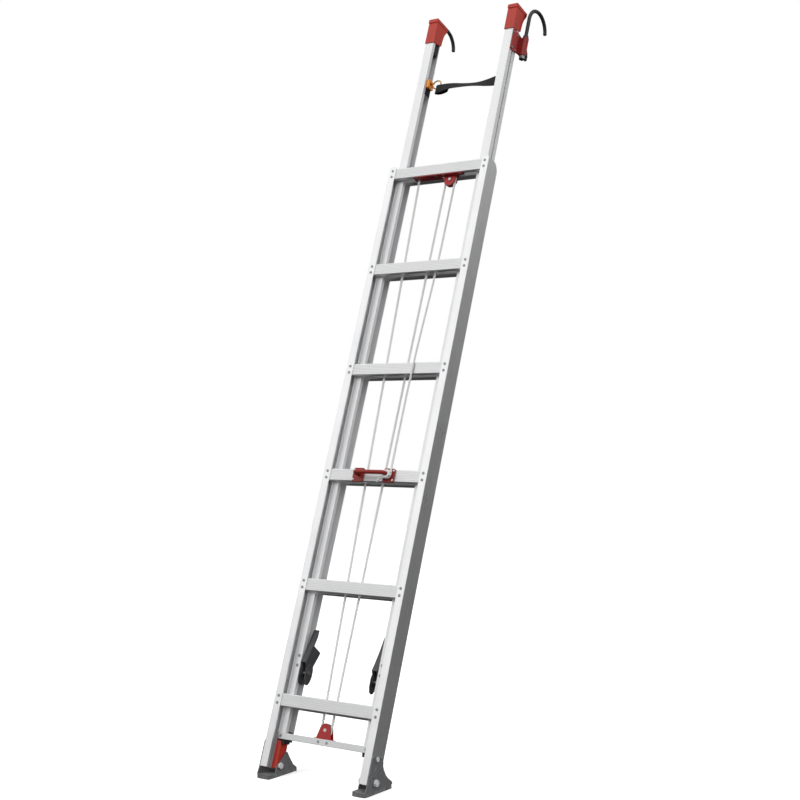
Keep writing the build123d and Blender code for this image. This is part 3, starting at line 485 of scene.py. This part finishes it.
hand_pts = [
    (26, PLANE, 1667.7), (26, PLANE, 1675.04), (35.96, PLANE, 1685), (50.04, PLANE, 1685), (60, PLANE, 1675.04), (60, PLANE, 1667.7),
    (60.08, 26.0, 1620), (60.6, 22.8, 1350), (62.0, -2.4, 1036), (63.25, -5.8, 733), (63.35, -6.2, 695),
]
POST_X, POST_Z = 53.0, 681.5
for k in range(15):
    a = math.radians(-15 - 30 * k)
    hand_pts.append((POST_X + 10.715 * math.cos(a), -6.3 - 8.4 * (k * 30) / 360, POST_Z + 10.715 * math.sin(a)))
hand_pts += [(47.0, -15.8, 670.6), (40.0, -14.6, 669.4), (33.0, -12.5, 666.0), (27.5, -10.8, 662.0), (22.0, -9.6, 658.0)]
hand_line = spline_points([W(*p) for p in hand_pts], 40)
hand = rope_mesh("hand_rope", hand_line)
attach(hand, "base")
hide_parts("rope_hand_line")


def knot(name, centre, across, along, size, body):
    """Tight overhand stopper: a trefoil of rope drawn up round its own line."""
    third = across.cross(along).normalized()
    pts = []
    for k in range(25):
        t = 2 * math.pi * k / 24
        r = 2.0 + math.cos(3 * t)
        pts.append(centre + (across * (r * math.cos(2 * t)) + third * (r * math.sin(2 * t)) + along * (1.15 * math.sin(3 * t))) * size)
    ob = rope_mesh(name, spline_points(pts, 10))
    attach(ob, body)
    return ob


anchor_knot = knot("anchor_knot", W(-79, PLANE, 1690.5), Vector((1, 0, 0)), ALONG, 0.00195, "base")


# ---------------------------------------------------------------- pole strap
def ribbon(name, stations, thick, across=9):
    """Flat webbing through stations (x, d, s, turn in degrees, width), smooth between them, with a real thickness."""
    pts = []
    steps = 10
    for i in range(len(stations) - 1):
        p0, p1 = stations[max(i - 1, 0)], stations[i]
        p2, p3 = stations[i + 1], stations[min(i + 2, len(stations) - 1)]
        for k in range(steps):
            t = k / steps
            pts.append([0.5 * (2 * b + (c - a) * t + (2 * a - 5 * b + 4 * c - d) * t * t + (3 * b - a - 3 * c + d) * t ** 3) for a, b, c, d in zip(p0, p1, p2, p3)])
    pts.append(list(stations[-1]))
    mid = [W(p[0], p[1], p[2]) for p in pts]
    verts, arc, run = [], [], 0.0
    n = 2 * across
    for i, p in enumerate(pts):
        if i:
            run += (mid[i] - mid[i - 1]).length
        arc.append(run)
        tangent = (mid[min(i + 1, len(mid) - 1)] - mid[max(i - 1, 0)]).normalized()
        a = math.radians(p[3])
        wide = (ALONG * math.cos(a) + Vector((0, COS, -SIN)) * math.sin(a))
        wide = (wide - tangent * wide.dot(tangent)).normalized()
        out = tangent.cross(wide).normalized()
        half = p[4] / 2000.0
        for side in (1, -1):
            for j in range(across):
                f = (j / (across - 1)) * 2 - 1
                if side < 0:
                    f = -f
                crown = thick * 0.5 * (1.0 - 0.55 * abs(f) ** 8)
                verts.append(mid[i] + wide * (half * f) + out * (side * crown))
    faces = []
    for i in range(len(pts) - 1):
        for k in range(n):
            faces.append((i * n + k, i * n + (k + 1) % n, (i + 1) * n + (k + 1) % n, (i + 1) * n + k))
    faces.append(tuple(range(n - 1, -1, -1)))
    faces.append(tuple(range((len(pts) - 1) * n, len(pts) * n)))

    def uv(poly, vert):
        i, k = divmod(vert, n)
        j = k if k < across else 2 * across - 1 - k
        return (arc[i], j / (across - 1) * pts[i][4] / 1000.0)

    ob = add_mesh(name, verts, faces, MATERIALS["webbing"], uv)
    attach(ob, "fly")
    return ob, arc[-1]


strap, strap_len = ribbon("pole_strap", [
    (158.0, 47.5, 2033.0, 0, 40), (140.0, 47.3, 2031.0, 2, 40), (116.0, 47.0, 2029.0, 10, 40), (86.0, 46.8, 2028.0, 25, 39), (56.0, 46.5, 2028.5, 38, 38),
    (26.0, 46.3, 2030.0, 42, 37), (-8.0, 46.2, 2032.5, 39, 37), (-42.0, 46.0, 2035.5, 31, 37), (-66.0, 45.5, 2035.0, 22, 37), (-86.0, 45.0, 2032.5, 12, 36),
    (-100.0, 45.5, 2032.0, 6, 34), (-108.0, 49.5, 2033.0, 2, 31), (-108.5, 55.5, 2034.0, 0, 30), (-101.0, 59.0, 2034.5, 0, 32), (-84.0, 58.5, 2035.0, 4, 35), (-62.0, 56.0, 2036.0, 14, 36),
], 0.0022)
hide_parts("strap_webbing")

tab, tab_len = ribbon("strap_tab", [
    (-137.2, 34.0, 2026.0, 0, 30), (-136.9, 46.0, 2026.0, 0, 30), (-136.9, 58.0, 2026.5, 0, 30),
], 0.0018)

# ---------------------------------------------------------------- floor and light
floor_verts = [(9.0 * math.cos(2 * math.pi * k / 96), 9.0 * math.sin(2 * math.pi * k / 96), 0.0) for k in range(96)]
floor_mat = Mat("floor_paper", roughness=0.95, base=(0.93, 0.93, 0.93), specular=0.1)
fibre = floor_mat.noise(floor_mat.vec, 3.0, 4.0, 0.6)
floor_mat.set("Base Color", floor_mat.mix(floor_mat.span(fibre, 0.0, 1.0, 0.3, 0.7), (0.925, 0.925, 0.925), (0.94, 0.94, 0.94)))
floor_mat.bsdf.inputs["Emission Color"].default_value = (1.0, 1.0, 1.0, 1.0)
floor_mat.bsdf.inputs["Emission Strength"].default_value = 0.36
floor = add_mesh("floor", floor_verts, [tuple(range(96))], floor_mat.mat, smooth=False)
floor.visible_diffuse = False
floor.visible_glossy = False

world = bpy.data.worlds.new("studio")
scene.world = world
world.use_nodes = True
wt = world.node_tree
back = wt.nodes["Background"]
coord = wt.nodes.new("ShaderNodeTexCoord")
split = wt.nodes.new("ShaderNodeSeparateXYZ")
wt.links.new(coord.outputs["Generated"], split.inputs[0])
lift_map = wt.nodes.new("ShaderNodeMapRange")
lift_map.inputs["From Min"].default_value = -1.0
lift_map.inputs["From Max"].default_value = 1.0
wt.links.new(split.outputs["Z"], lift_map.inputs["Value"])
sky = wt.nodes.new("ShaderNodeValToRGB")
stops = [(0.0, 0.02), (0.40, 0.055), (0.50, 0.080), (0.55, 0.095), (0.60, 0.38), (0.63, 0.60), (0.66, 1.12), (0.75, 1.00), (0.86, 0.97), (1.0, 1.50)]
while len(sky.color_ramp.elements) < len(stops):
    sky.color_ramp.elements.new(0.5)
for e, (p, v) in zip(sky.color_ramp.elements, stops):
    e.position = p
    e.color = (v, v, v, 1.0)
wt.links.new(lift_map.outputs["Result"], sky.inputs["Fac"])


def ramp_of(axis, lo, hi):
    n = wt.nodes.new("ShaderNodeMapRange")
    n.interpolation_type = "SMOOTHSTEP"
    n.inputs["From Min"].default_value = lo
    n.inputs["From Max"].default_value = hi
    wt.links.new(split.outputs[axis], n.inputs["Value"])
    return n.outputs["Result"]


behind = wt.nodes.new("ShaderNodeMath")
behind.operation = "MULTIPLY"
wt.links.new(ramp_of("Y", -0.05, 0.45), behind.inputs[0])
wt.links.new(ramp_of("Z", 0.15, 0.50), behind.inputs[1])
shade = wt.nodes.new("ShaderNodeMix")
shade.data_type = "RGBA"
wt.links.new(behind.outputs[0], shade.inputs[0])
wt.links.new(sky.outputs["Color"], shade.inputs[6])
shade.inputs[7].default_value = (0.30, 0.30, 0.31, 1.0)
path = wt.nodes.new("ShaderNodeLightPath")
seen = wt.nodes.new("ShaderNodeMix")
seen.data_type = "RGBA"
wt.links.new(path.outputs["Is Camera Ray"], seen.inputs[0])
wt.links.new(shade.outputs[2], seen.inputs[6])
seen.inputs[7].default_value = (1.0, 1.0, 1.0, 1.0)
wt.links.new(seen.outputs[2], back.inputs["Color"])
back.inputs["Strength"].default_value = 1.0


def softbox(name, place, aim, wide, high, watts):
    data = bpy.data.lights.new(name, "AREA")
    data.shape = "RECTANGLE"
    data.size, data.size_y = wide, high
    data.energy = watts
    ob = bpy.data.objects.new(name, data)
    scene.collection.objects.link(ob)
    ob.location = place
    ob.rotation_euler = (Vector(aim) - Vector(place)).to_track_quat("-Z", "Y").to_euler()
    ob.visible_glossy = False
    return ob


softbox("key_light", (-2.4, -4.2, 5.0), (0.0, 0.4, 1.1), 2.0, 2.0, 155.0)
softbox("fill_light", (4.5, -1.6, 3.4), (0.0, 0.4, 1.1), 2.4, 2.4, 12.0)
near_light = softbox("near_light", (1.9, -1.7, 0.75), (-0.15, 0.25, 0.60), 0.7, 0.7, 2.2)
near_light.data.spread = math.radians(70)
softbox("back_light", (3.4, 4.6, 1.6), (0.0, 0.4, 1.1), 2.4, 2.4, 150.0)
